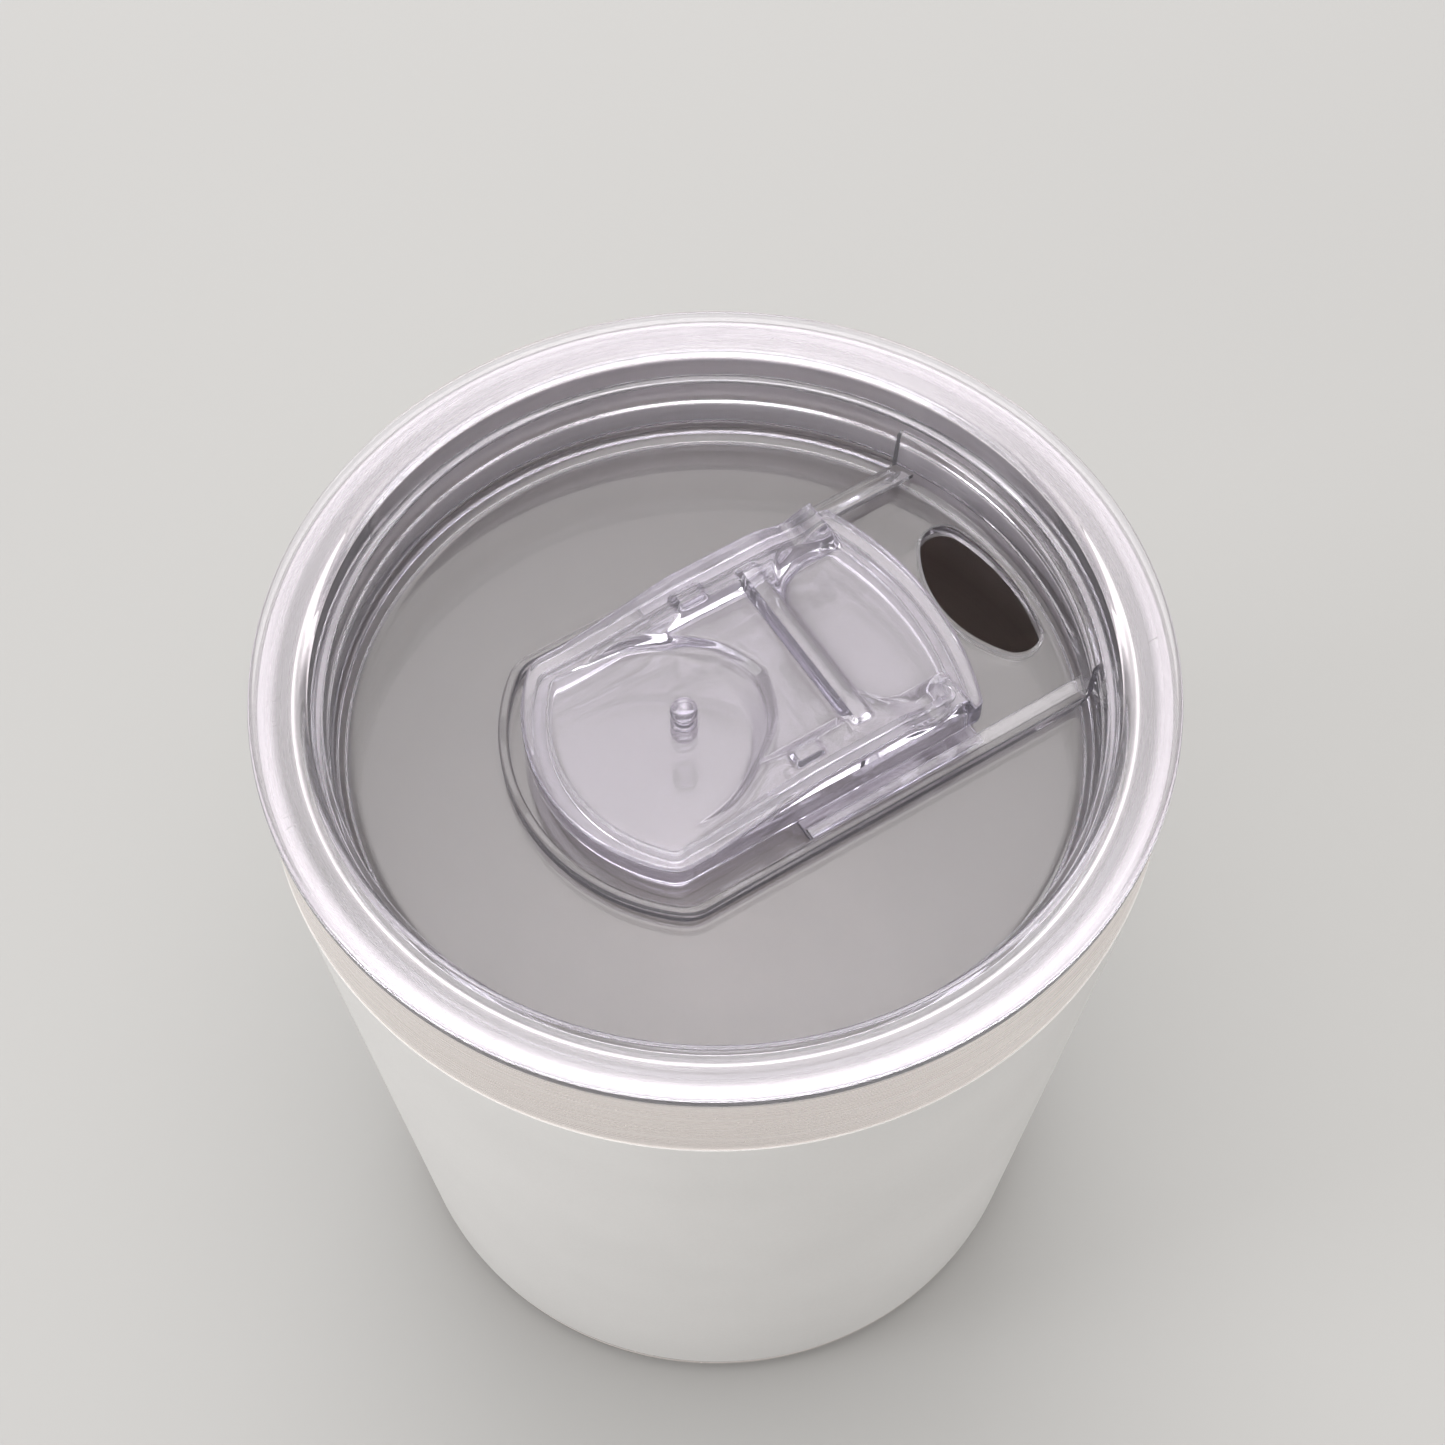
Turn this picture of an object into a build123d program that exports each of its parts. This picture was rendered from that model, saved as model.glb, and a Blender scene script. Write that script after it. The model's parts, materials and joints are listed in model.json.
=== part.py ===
"""Insulated lowball tumbler with a clear press-in lid and a sliding drink closure.

Millimetres. +Z is up and the origin is the centre of the face that the tumbler rests on.
+X points from the middle of the lid towards the drink hole, and the slider runs along it.
"""

import os
from math import sqrt

from build123d import *

# ---- driving dimensions -------------------------------------------------------------------
TOTAL_HEIGHT = 95.5  # resting face to the top of the lid flange
LID_RADIUS = 44.4  # outer edge of the clear flange
FLANGE_THICKNESS = 1.5
RIM_RADIUS = 44.0  # outside of the bare steel band under the flange
BAND_HEIGHT = 10.5  # bare steel between the flange and the coat
MOUTH_RADIUS = 39.9  # inside of the inner vessel at the mouth
BASE_RADIUS = 36.3  # outside of the shell at the foot ring, before its corner is rounded
SHEET = 0.5  # steel sheet of the shell and the inner vessel
COAT = 0.15  # powder coat

# ---- cup ----------------------------------------------------------------------------------
RIM_Z = TOTAL_HEIGHT - FLANGE_THICKNESS
BAND_Z = RIM_Z - BAND_HEIGHT
SHOULDER_Z = BAND_Z + 1.5  # the shell is straight above this and tapers below it
SHOULDER_BEND = 14.0  # radius of the bend at the shoulder
RIM_ROUND = 0.8
FOOT_Z = 1.0  # underside of the shell's foot ring
FOOT_CORNER = 3.0
FOOT_INNER = 31.0  # radius of the recess inside the foot ring
FOOT_FLANGE_Z = 3.5  # top of the turned-up edge of the foot ring
COAT_BOTTOM_Z = 4.8

COLLAR_Z = 80.0  # the inner vessel is straight above this, for the lid's plug
VESSEL_FLOOR_Z = 7.0  # underside of the inner vessel
VESSEL_BASE_RADIUS = 32.3  # inside of the inner vessel at its floor
VESSEL_CORNER = 8.5
FOIL = 0.15
FOIL_BOTTOM_Z = 17.0
FOIL_TOP_Z = 79.0

BOTTOM_SHEET = 0.6
BOTTOM_Z = FOOT_FLANGE_Z - BOTTOM_SHEET
DIMPLE_RISE = 1.4
DIMPLE_RADIUS = 4.0
SEAL_HOLE_RADIUS = 0.75
BEAD_RADIUS = 3.0
GETTER_RADIUS = 4.5
GETTER_HEIGHT = 2.0
GETTER_OFFSET = 15.0
CAP_SHEET = 0.4
CAP_Z = 1.9
PAD_RADIUS = 30.2
PAD_GROOVES = (12.0, 18.0, 24.0)  # mid radius of each groove in the pad's underside

# ---- lid, heights measured down from the top of the flange ---------------------------------
LID_FLOOR = -11.2
FLOOR_THICKNESS = 1.8
WELL_TOP_RADIUS = 38.9  # inner edge of the flange
WELL_FOOT_RADIUS = 37.2
WELL_TOP_ROUND = 0.9
WELL_FOOT_ROUND = 1.2
LEDGE_Z = -3.4  # small step in the well wall
LEDGE_OUTER = 38.4
LEDGE_INNER = 37.6
LEDGE_DROP = 0.2
LEDGE_ROUND = 0.35
SKIRT_RADIUS = 39.6
SKIRT_BOTTOM = -14.4
SKIRT_FOOT_RADIUS = 39.0
SKIRT_INNER_RADIUS = 37.4
GROOVE_TOP = -7.6
GROOVE_BOTTOM = -10.8
GROOVE_RADIUS = 38.6
GASKET_RADIUS = 39.8

PAD_TOP = -4.6  # top ledge of the steep wall section behind the drink hole
PAD_TOP_RADIUS = 36.9
PAD_FOOT_RADIUS = 36.4

# drink hole, points (x, y) on the +Y half of its outline
HOLE_FRONT = (35.6, 0)
HOLE_FRONT_END = (34.3, 7.6)
HOLE_SIDE = (32.0, 9.1)
HOLE_REAR_END = (29.6, 8.1)
HOLE_REAR = (26.8, 0)
HOLE_BEVEL = 0.45
HOLE_BEVEL_DEPTH = 0.35

# ---- slide track in the lid floor ------------------------------------------------------------
TRACK_HALF = 16.9  # centre line to the outer face of each rail
TRACK_REAR_RADIUS = 21.3
TRACK_CORNER = 4.0
RAIL = 1.0
RAIL_HEIGHT = 1.6
LIP_START = 1.0  # the lips run from here to the lid wall
LIP_INNER = 14.6
LIP_OUTER = 16.5
LIP_THICKNESS = 0.65
RAIL_STEP_X = 8.7
RAIL_STEP = 0.3
RAIL_REACH = 37.9  # rails end inside the lid wall at this radius

# ---- slider, drawn in its open position -------------------------------------------------------
SLIDER_HALF = 14.0
SLIDER_REAR_RADIUS = 18.9
SLIDER_SIDE_END = 22.0
SLIDER_NOSE = 25.0
SLIDER_TOP = -6.0
SLIDER_STEP = -8.9  # below this the slider is narrower
SLIDER_BOTTOM = -11.05
SLIDER_SKIN = 1.6
SLIDER_WALL = 1.4
FOOT_INSET = 1.0
FOOT_NOSE_INSET = 0.4
TONGUE_HALF = 15.6
TONGUE_START = 1.0
TONGUE_END = 22.0
TONGUE_THICKNESS = 0.6
GRIP_RISE = 2.4
GRIP_REAR = -8.0
GRIP_FRONT = 21.8
GRIP_ARM_INNER = 9.9
DISH_RADIUS = 11.3
DISH_TOP_RADIUS = 14.2
DISH_X = -8.0
RAMP_END = 3.0  # the arms rise from the grip's rear end to full height here
RIDGE_REAR = 8.9
RIDGE_FRONT = 11.8
RIDGE_RISE = 3.2
RIDGE_HALF = 10.6
POCKET_REAR = 12.4
SCOOP_RADIUS = 9.0
SCOOP_X = 19.5
SCOOP_DEPTH = 1.3
NUB_X = -3.6
NUB_RADIUS = 1.25
NUB_NECK = 0.9

EPS = 0.01


def turned(corners, drop=0.0):
    """Solid of revolution about Z from (radius, height, fillet) corners."""
    points = [(radius, height + drop) for radius, height, _ in corners]
    with BuildPart() as part:
        with BuildSketch(Plane.XZ):
            with BuildLine():
                FilletPolyline(*points, radius=[fillet for _, _, fillet in corners], close=True)
            make_face()
        revolve(axis=Axis.Z)
    return part.part


def taper_radius(height, offset=0.0):
    """Outside radius of the shell's taper at a height, moved outward by offset."""
    slope = (RIM_RADIUS - BASE_RADIUS) / (SHOULDER_Z - FOOT_Z)
    return BASE_RADIUS + slope * (height - FOOT_Z) + offset


def vessel_radius(height, offset=0.0):
    """Inside radius of the inner vessel's taper at a height, moved outward by offset."""
    slope = (MOUTH_RADIUS - VESSEL_BASE_RADIUS) / (COLLAR_Z - VESSEL_FLOOR_Z)
    return VESSEL_BASE_RADIUS + slope * (height - VESSEL_FLOOR_Z) + offset


# ---- cup pieces ------------------------------------------------------------------------------


def outer_shell():
    """Drawn shell: flat rim, straight band, taper, foot ring and its turned-up edge."""
    inner = RIM_RADIUS - SHEET
    return turned(
        [
            (MOUTH_RADIUS + SHEET, RIM_Z, 0),
            (RIM_RADIUS, RIM_Z, RIM_ROUND),
            (RIM_RADIUS, SHOULDER_Z, SHOULDER_BEND),
            (BASE_RADIUS, FOOT_Z, FOOT_CORNER),
            (FOOT_INNER, FOOT_Z, 0.3),
            (FOOT_INNER, FOOT_FLANGE_Z, 0),
            (FOOT_INNER + SHEET, FOOT_FLANGE_Z, 0),
            (FOOT_INNER + SHEET, FOOT_Z + SHEET, 0),
            (BASE_RADIUS - SHEET, FOOT_Z + SHEET, FOOT_CORNER - SHEET),
            (inner, SHOULDER_Z, SHOULDER_BEND - SHEET),
            (inner, RIM_Z - SHEET, 0.3),
            (MOUTH_RADIUS + SHEET, RIM_Z - SHEET, 0),
        ]
    )


def inner_vessel():
    """Drawn vessel that holds the drink, straight at the mouth for the lid's plug."""
    outer = MOUTH_RADIUS + SHEET
    return turned(
        [
            (0, VESSEL_FLOOR_Z, 0),
            (VESSEL_BASE_RADIUS + SHEET, VESSEL_FLOOR_Z, VESSEL_CORNER + SHEET),
            (outer, COLLAR_Z, 0),
            (outer, RIM_Z, 0),
            (MOUTH_RADIUS, RIM_Z, 0),
            (MOUTH_RADIUS, COLLAR_Z, 0),
            (VESSEL_BASE_RADIUS, VESSEL_FLOOR_Z + SHEET, VESSEL_CORNER),
            (0, VESSEL_FLOOR_Z + SHEET, 0),
        ]
    )


def radiation_foil():
    """Foil sleeve on the outside of the inner vessel, in the vacuum gap."""
    return turned(
        [
            (vessel_radius(FOIL_BOTTOM_Z, SHEET), FOIL_BOTTOM_Z, 0),
            (vessel_radius(FOIL_BOTTOM_Z, SHEET + FOIL), FOIL_BOTTOM_Z, 0),
            (vessel_radius(FOIL_TOP_Z, SHEET + FOIL), FOIL_TOP_Z, 0),
            (vessel_radius(FOIL_TOP_Z, SHEET), FOIL_TOP_Z, 0),
        ]
    )


def powder_coat():
    """Coat on the shell from the bare band down to the foot corner."""
    return turned(
        [
            (taper_radius(BAND_Z), BAND_Z, 0),
            (taper_radius(COAT_BOTTOM_Z), COAT_BOTTOM_Z, 0),
            (taper_radius(COAT_BOTTOM_Z, COAT), COAT_BOTTOM_Z, 0),
            (taper_radius(BAND_Z, COAT), BAND_Z, 0),
        ]
    )


def outer_bottom():
    """Disc welded into the foot ring, dimpled around the evacuation hole."""
    top = FOOT_FLANGE_Z
    return turned(
        [
            (SEAL_HOLE_RADIUS, BOTTOM_Z + DIMPLE_RISE, 0),
            (DIMPLE_RADIUS, BOTTOM_Z + DIMPLE_RISE, 0.4),
            (DIMPLE_RADIUS + DIMPLE_RISE, BOTTOM_Z, 0.8),
            (FOOT_INNER, BOTTOM_Z, 0),
            (FOOT_INNER, top, 0),
            (DIMPLE_RADIUS + DIMPLE_RISE + BOTTOM_SHEET / 2, top, 0.4),
            (DIMPLE_RADIUS + BOTTOM_SHEET / 2, top + DIMPLE_RISE, 0.8),
            (SEAL_HOLE_RADIUS, top + DIMPLE_RISE, 0),
        ]
    )


def seal_bead():
    """Solder-glass bead that closes the evacuation hole."""
    top = BOTTOM_Z + DIMPLE_RISE
    return turned(
        [
            (0, top - 0.8, 0),
            (BEAD_RADIUS, top - 0.8, 0.6),
            (BEAD_RADIUS, top, 0),
            (SEAL_HOLE_RADIUS, top, 0),
            (SEAL_HOLE_RADIUS, top + BOTTOM_SHEET, 0),
            (0, top + BOTTOM_SHEET, 0),
        ]
    )


def getter_capsule():
    """Gas-absorbing pellet in its cup, on the inside of the outer bottom."""
    capsule = turned(
        [
            (0, FOOT_FLANGE_Z, 0),
            (GETTER_RADIUS, FOOT_FLANGE_Z, 0),
            (GETTER_RADIUS, FOOT_FLANGE_Z + GETTER_HEIGHT, 0.5),
            (0, FOOT_FLANGE_Z + GETTER_HEIGHT, 0),
        ]
    )
    return Pos(GETTER_OFFSET, 0, 0) * capsule


def base_cap():
    """Thin cap pressed into the foot ring over the seal."""
    return turned(
        [
            (0, CAP_Z, 0),
            (FOOT_INNER, CAP_Z, 0.6),
            (FOOT_INNER, BOTTOM_Z, 0),
            (FOOT_INNER - CAP_SHEET, BOTTOM_Z, 0),
            (FOOT_INNER - CAP_SHEET, CAP_Z + CAP_SHEET, 0.2),
            (0, CAP_Z + CAP_SHEET, 0),
        ]
    )


def foot_pad():
    """Non-slip pad glued to the cap. It stands proud of the foot ring."""
    pad = turned(
        [
            (0, 0, 0),
            (PAD_RADIUS, 0, 0.5),
            (PAD_RADIUS, CAP_Z, 0),
            (0, CAP_Z, 0),
        ]
    )
    for radius in PAD_GROOVES:
        pad -= turned(
            [
                (radius - 0.8, -EPS, 0),
                (radius + 0.8, -EPS, 0),
                (radius + 0.8, 0.5, 0.3),
                (radius - 0.8, 0.5, 0.3),
            ]
        )
    return pad


# ---- outlines used by the lid and the slider -------------------------------------------------


def track_outline(half, rear_radius, corner, front):
    """Face of a U: straight sides at +-half, closed at the rear by an arc about the centre."""
    rear = -sqrt(rear_radius**2 - half**2)
    with BuildSketch() as sketch:
        with BuildLine():
            Polyline((rear, half), (front, half), (front, -half), (rear, -half))
            ThreePointArc((rear, -half), (-rear_radius, 0), (rear, half))
        make_face()
        fillet(sketch.vertices().filter_by(lambda v: v.X < 0), corner)
    return sketch.sketch


def slider_outline(inset=0.0, nose_inset=0.0):
    """Face of the slider's plan, moved inward by inset, and by nose_inset at the front."""
    half = SLIDER_HALF - inset
    rear_radius = SLIDER_REAR_RADIUS - inset
    rear = -sqrt(rear_radius**2 - half**2)
    side_end = SLIDER_SIDE_END - nose_inset
    with BuildSketch() as sketch:
        with BuildLine():
            Polyline((rear, half), (side_end, half))
            ThreePointArc((side_end, half), (SLIDER_NOSE - nose_inset, 0), (side_end, -half))
            Polyline((side_end, -half), (rear, -half))
            ThreePointArc((rear, -half), (-rear_radius, 0), (rear, half))
        make_face()
        fillet(sketch.vertices().filter_by(lambda v: v.X < 0), 3.0)
        fillet(sketch.vertices().filter_by(lambda v: v.X > side_end - 0.1), 1.2)
    return sketch.sketch


def prism(face, bottom, top):
    """Upright solid of a face between two heights, both measured from the lid's top."""
    return Pos(0, 0, TOTAL_HEIGHT + bottom) * extrude(face, top - bottom)


def block(x_range, y_range, z_range):
    """Box between corners, with heights measured from the lid's top."""
    size = [high - low for low, high in (x_range, y_range, z_range)]
    middle = [(high + low) / 2 for low, high in (x_range, y_range, z_range)]
    return Pos(middle[0], middle[1], TOTAL_HEIGHT + middle[2]) * Box(*size)


# ---- lid pieces --------------------------------------------------------------------------------


def lid_shell():
    """Flange, stepped well wall, floor and skirt of the lid, with the gasket groove."""
    underside = LID_FLOOR - FLOOR_THICKNESS
    return turned(
        [
            (0, LID_FLOOR, 0),
            (WELL_FOOT_RADIUS, LID_FLOOR, WELL_FOOT_ROUND),
            (LEDGE_INNER, LEDGE_Z - LEDGE_DROP, LEDGE_ROUND),
            (LEDGE_OUTER, LEDGE_Z, LEDGE_ROUND),
            (WELL_TOP_RADIUS, 0, WELL_TOP_ROUND),
            (LID_RADIUS, 0, 0.6),
            (LID_RADIUS, -FLANGE_THICKNESS, 0.3),
            (SKIRT_RADIUS, -FLANGE_THICKNESS, 0),
            (SKIRT_RADIUS, GROOVE_TOP, 0.2),
            (GROOVE_RADIUS, GROOVE_TOP, 0.2),
            (GROOVE_RADIUS, GROOVE_BOTTOM, 0.2),
            (SKIRT_RADIUS - 0.2, GROOVE_BOTTOM, 0.2),
            (SKIRT_FOOT_RADIUS, SKIRT_BOTTOM, 0.5),
            (SKIRT_INNER_RADIUS, SKIRT_BOTTOM, 0.4),
            (SKIRT_INNER_RADIUS - 0.6, underside, 0.5),
            (0, underside, 0),
        ],
        drop=TOTAL_HEIGHT,
    )


def spout_pad():
    """Steeper wall section between the rails, behind the drink hole."""
    pad = turned(
        [
            (PAD_FOOT_RADIUS, LID_FLOOR - 0.5, 0),
            (PAD_TOP_RADIUS, PAD_TOP, 0),
            (GROOVE_RADIUS - 0.1, PAD_TOP, 0),
            (GROOVE_RADIUS - 1.0, LID_FLOOR - 0.5, 0),
        ],
        drop=TOTAL_HEIGHT,
    )
    return pad & block((0, LID_RADIUS), (-TRACK_HALF, TRACK_HALF), (LID_FLOOR - 1, 0))


def rails():
    """U-shaped rail on the lid floor, with inward lips that hold the slider's tongues."""
    top = LID_FLOOR + RAIL_HEIGHT
    outer = track_outline(TRACK_HALF, TRACK_REAR_RADIUS, TRACK_CORNER, LID_RADIUS)
    inner = track_outline(
        TRACK_HALF - RAIL, TRACK_REAR_RADIUS - RAIL, TRACK_CORNER - RAIL, LID_RADIUS + 1
    )
    rail = prism(outer - inner, LID_FLOOR - 0.5, top)
    for side in (-1, 1):
        lip_edges = sorted((side * LIP_INNER, side * LIP_OUTER))
        rail += block((LIP_START, LID_RADIUS), lip_edges, (top - LIP_THICKNESS, top))
        step_edges = sorted((side * (TRACK_HALF - RAIL_STEP), side * (TRACK_HALF + 1)))
        rail -= block((RAIL_STEP_X, LID_RADIUS), step_edges, (LID_FLOOR + EPS, top + 1))
    reach = Pos(0, 0, TOTAL_HEIGHT + LID_FLOOR) * Cylinder(RAIL_REACH, 6)
    return rail & reach


def other_side(point):
    """The point mirrored across the centre line."""
    return (point[0], -point[1])


def drink_hole(bottom, top, grow=0.0):
    """Bean-shaped cutter: flat arc towards the lid wall, full arc towards the middle."""
    with BuildSketch() as sketch:
        with BuildLine():
            ThreePointArc(other_side(HOLE_FRONT_END), HOLE_FRONT, HOLE_FRONT_END)
            ThreePointArc(HOLE_FRONT_END, HOLE_SIDE, HOLE_REAR_END)
            ThreePointArc(HOLE_REAR_END, HOLE_REAR, other_side(HOLE_REAR_END))
            ThreePointArc(
                other_side(HOLE_REAR_END), other_side(HOLE_SIDE), other_side(HOLE_FRONT_END)
            )
        make_face()
        if grow:
            offset(amount=grow)
    return prism(sketch.sketch, bottom, top)


def lid_body():
    """One clear moulding: shell, spout wall, rails and the drink hole through the floor."""
    body = lid_shell() + spout_pad() + rails()
    body -= drink_hole(LID_FLOOR - FLOOR_THICKNESS - 1, LID_FLOOR + 1)
    body -= drink_hole(LID_FLOOR - HOLE_BEVEL_DEPTH, LID_FLOOR + 1, grow=HOLE_BEVEL)
    return body


def lid_gasket():
    """Silicone ring in the skirt's groove, with two sealing ribs."""
    top = GROOVE_TOP - 0.1
    bottom = GROOVE_BOTTOM + 0.1
    waist = GASKET_RADIUS - 0.7
    rib = 1.1
    return turned(
        [
            (GROOVE_RADIUS, top, 0.3),
            (GASKET_RADIUS, top, 0.35),
            (GASKET_RADIUS, top - rib, 0.35),
            (waist, top - rib - 0.2, 0.1),
            (waist, bottom + rib + 0.2, 0.1),
            (GASKET_RADIUS, bottom + rib, 0.35),
            (GASKET_RADIUS, bottom, 0.35),
            (GROOVE_RADIUS, bottom, 0.3),
        ],
        drop=TOTAL_HEIGHT,
    )


# ---- slider -------------------------------------------------------------------------------------


def slider_tray():
    """Plate with a downward wall, narrower below the step, open underneath."""
    plate = prism(slider_outline(), SLIDER_STEP, SLIDER_TOP)
    plate = fillet(plate.faces().sort_by(Axis.Z)[-1].edges(), 0.4)
    foot = prism(slider_outline(FOOT_INSET, FOOT_NOSE_INSET), SLIDER_BOTTOM, SLIDER_STEP)
    hollow = prism(
        slider_outline(FOOT_INSET + SLIDER_WALL, FOOT_NOSE_INSET + SLIDER_WALL),
        SLIDER_BOTTOM - 1,
        SLIDER_TOP - SLIDER_SKIN,
    )
    return plate + foot - hollow


def tongues():
    """Side tongues that run under the rail lips."""
    inner = SLIDER_HALF - FOOT_INSET - 0.5
    pair = []
    for side in (-1, 1):
        edges = sorted((side * inner, side * TONGUE_HALF))
        tongue = block(
            (TONGUE_START, TONGUE_END), edges, (SLIDER_BOTTOM, SLIDER_BOTTOM + TONGUE_THICKNESS)
        )
        outer_corners = tongue.edges().filter_by(Axis.Z).filter_by(
            lambda e: abs(e.center().Y) > TONGUE_HALF - 0.1
        )
        pair.append(chamfer(outer_corners, 1.0))
    return pair[0] + pair[1]


def grip():
    """H-shaped grip: two side arms and a cross ridge, dished behind and pocketed in front."""
    outline = slider_outline(0.4, 0.4)
    grip_top = SLIDER_TOP + GRIP_RISE
    deck = SLIDER_TOP - 0.3
    h_block = prism(outline, deck, grip_top)
    h_block &= block((GRIP_REAR, GRIP_FRONT), (-LID_RADIUS, LID_RADIUS), (deck, grip_top))

    dish = Pos(DISH_X, 0, TOTAL_HEIGHT + SLIDER_TOP + GRIP_RISE / 2) * Cone(
        DISH_RADIUS, DISH_TOP_RADIUS, GRIP_RISE
    )
    h_block -= dish

    with BuildSketch(Plane.XZ) as ramp:
        with BuildLine():
            Polyline(
                (GRIP_REAR - 1, TOTAL_HEIGHT + SLIDER_TOP),
                (GRIP_REAR, TOTAL_HEIGHT + SLIDER_TOP),
                (RAMP_END, TOTAL_HEIGHT + grip_top + EPS),
                (GRIP_REAR - 1, TOTAL_HEIGHT + grip_top + EPS),
                close=True,
            )
        make_face()
    h_block -= extrude(ramp.sketch, LID_RADIUS, both=True)

    pocket = block(
        (POCKET_REAR, LID_RADIUS), (-GRIP_ARM_INNER, GRIP_ARM_INNER), (SLIDER_TOP, grip_top + 1)
    )
    pocket = fillet(
        pocket.edges().filter_by(Axis.Z).filter_by(lambda e: e.center().X < POCKET_REAR + 1), 2.5
    )
    h_block -= pocket

    scoop_height = TOTAL_HEIGHT + grip_top + SCOOP_RADIUS - SCOOP_DEPTH
    scoop = Pos(SCOOP_X, 0, scoop_height) * Rot(90, 0, 0) * Cylinder(SCOOP_RADIUS, 3 * SLIDER_HALF)
    h_block -= scoop

    ridge = block(
        (RIDGE_REAR, RIDGE_FRONT), (-RIDGE_HALF, RIDGE_HALF), (deck, SLIDER_TOP + RIDGE_RISE)
    )
    ridge = fillet(ridge.faces().sort_by(Axis.Z)[-1].edges(), 1.0)
    return h_block + ridge


def nub():
    """Ball-ended peg in the rear dish."""
    neck_height = 1.2
    neck = Pos(NUB_X, 0, TOTAL_HEIGHT + SLIDER_TOP + neck_height / 2 - 0.1) * Cylinder(
        NUB_NECK, neck_height + 0.2
    )
    ball = Pos(NUB_X, 0, TOTAL_HEIGHT + SLIDER_TOP + neck_height + 0.6) * Sphere(NUB_RADIUS)
    return neck + ball


def slider():
    """One clear moulding: tray, tongues, grip and nub."""
    return slider_tray() + tongues() + grip() + nub()


SUB_PARTS = {
    "outer_shell": outer_shell,
    "inner_vessel": inner_vessel,
    "radiation_foil": radiation_foil,
    "powder_coat": powder_coat,
    "outer_bottom": outer_bottom,
    "seal_bead": seal_bead,
    "getter_capsule": getter_capsule,
    "base_cap": base_cap,
    "foot_pad": foot_pad,
    "lid_body": lid_body,
    "lid_gasket": lid_gasket,
    "slider": slider,
}

os.makedirs("parts", exist_ok=True)
for name, make in SUB_PARTS.items():
    export_step(make(), f"parts/{name}.step")
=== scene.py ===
"""Looks for the insulated tumbler with its clear slider lid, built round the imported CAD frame.

The scene is in metres. +Z is up, the origin is the centre of the resting face and +X points from
the middle of the lid towards the drink hole. Outlines are drawn in millimetres, and mesh_from turns
them into metres. Lid and slider heights are measured from the top of the lid.
"""

import json
import math

import bmesh
import bpy
import numpy as np
from mathutils import Matrix, Vector


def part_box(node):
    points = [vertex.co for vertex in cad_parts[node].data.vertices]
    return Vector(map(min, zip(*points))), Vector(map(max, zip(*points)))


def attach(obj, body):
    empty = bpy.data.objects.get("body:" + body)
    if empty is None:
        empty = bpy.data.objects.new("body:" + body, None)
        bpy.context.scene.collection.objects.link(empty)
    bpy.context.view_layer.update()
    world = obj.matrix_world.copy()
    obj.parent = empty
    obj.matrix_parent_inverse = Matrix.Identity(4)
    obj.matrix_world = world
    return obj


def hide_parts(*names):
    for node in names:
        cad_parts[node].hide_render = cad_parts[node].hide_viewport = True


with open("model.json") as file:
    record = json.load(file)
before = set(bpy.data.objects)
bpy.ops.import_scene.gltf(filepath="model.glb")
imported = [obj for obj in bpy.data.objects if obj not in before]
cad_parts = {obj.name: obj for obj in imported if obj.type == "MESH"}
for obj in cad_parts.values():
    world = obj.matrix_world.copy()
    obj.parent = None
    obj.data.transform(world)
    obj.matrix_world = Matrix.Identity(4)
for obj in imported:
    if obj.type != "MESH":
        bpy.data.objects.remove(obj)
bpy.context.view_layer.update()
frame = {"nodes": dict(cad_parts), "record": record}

# ---- cup sizes: radii, and heights over the resting face -----------------------------------------------
LID_TOP = 95.5
RIM_TOP = 93.92
MOUTH = 39.9
SHELL = 44.0
SHELL_FOOT = 36.3
SHEET = 0.5
RIM_DEPTH = 1.5  # the lip is solid steel this far down
CROWN = 42.2  # highest circle of the lip
CROWN_FALL = 0.02
CROWN_BEND = 2.5
LIP_FALL = 0.6  # mouth edge of the lip, below the rim's top
LIP_EDGE_FALL = 0.20
LIP_EDGE_ROUND = 0.85
SHOULDER_Z = 85.0  # the shell is straight above this and tapers below it
SHOULDER_BEND = 14.0
FOOT_Z = 1.0
FOOT_BEND = 3.0
RECESS = 31.0  # radius of the recess inside the foot ring
RECESS_TOP = 3.5
COAT = 0.14
COAT_TOP = 83.45
COAT_BOTTOM = 4.8
COAT_EDGE_ROUND = 0.05
VESSEL_FLOOR = 7.0
VESSEL_BASE = 32.3
VESSEL_BEND = 8.5
COLLAR_Z = 80.0
COLLAR_BEND = 20.0
CAP_Z = 1.9
CAP_TOP = 2.9
CAP_SHEET = 0.4
PAD = 30.2
PAD_GROOVES = (12.0, 18.0, 24.0)
GROOVE_HALF = 0.8
GROOVE_DEPTH = 0.5
GAP = 0.02  # play between parts that touch

# ---- lid sizes -------------------------------------------------------------------------------------
FLANGE = 44.4
FLANGE_Z = -1.5
FLOOR = -11.2
UNDERSIDE = -13.0
WELL_TOP = 38.9
WELL_FOOT = 37.2
WELL_FOOT_ROUND = 2.1
LEDGE_OUTER = (38.4, -3.4)
LEDGE_INNER = (37.6, -3.6)
LEDGE_ROUND = 0.35
SKIRT = 39.6
SKIRT_FOOT = (39.0, -14.4)
SKIRT_INNER_FOOT = (37.4, -14.4)
SKIRT_INNER_TOP = 36.8
GROOVE = 38.6
GROOVE_TOP = -7.6
GROOVE_BOTTOM = -10.8
GASKET_INNER = 38.66
GASKET = 39.8
GASKET_WAIST = 39.1
GASKET_TOP = -7.7
GASKET_BOTTOM = -10.7
GASKET_RIB = 1.1
SPOUT_FOOT = 36.4
SPOUT_TOP = 36.9
SPOUT_Z = -4.6
SPOUT_BACK = (38.5, 37.6)  # its hidden side, at the top and at the foot
ROOT = 0.5  # how far the spout wall reaches down into the floor

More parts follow.
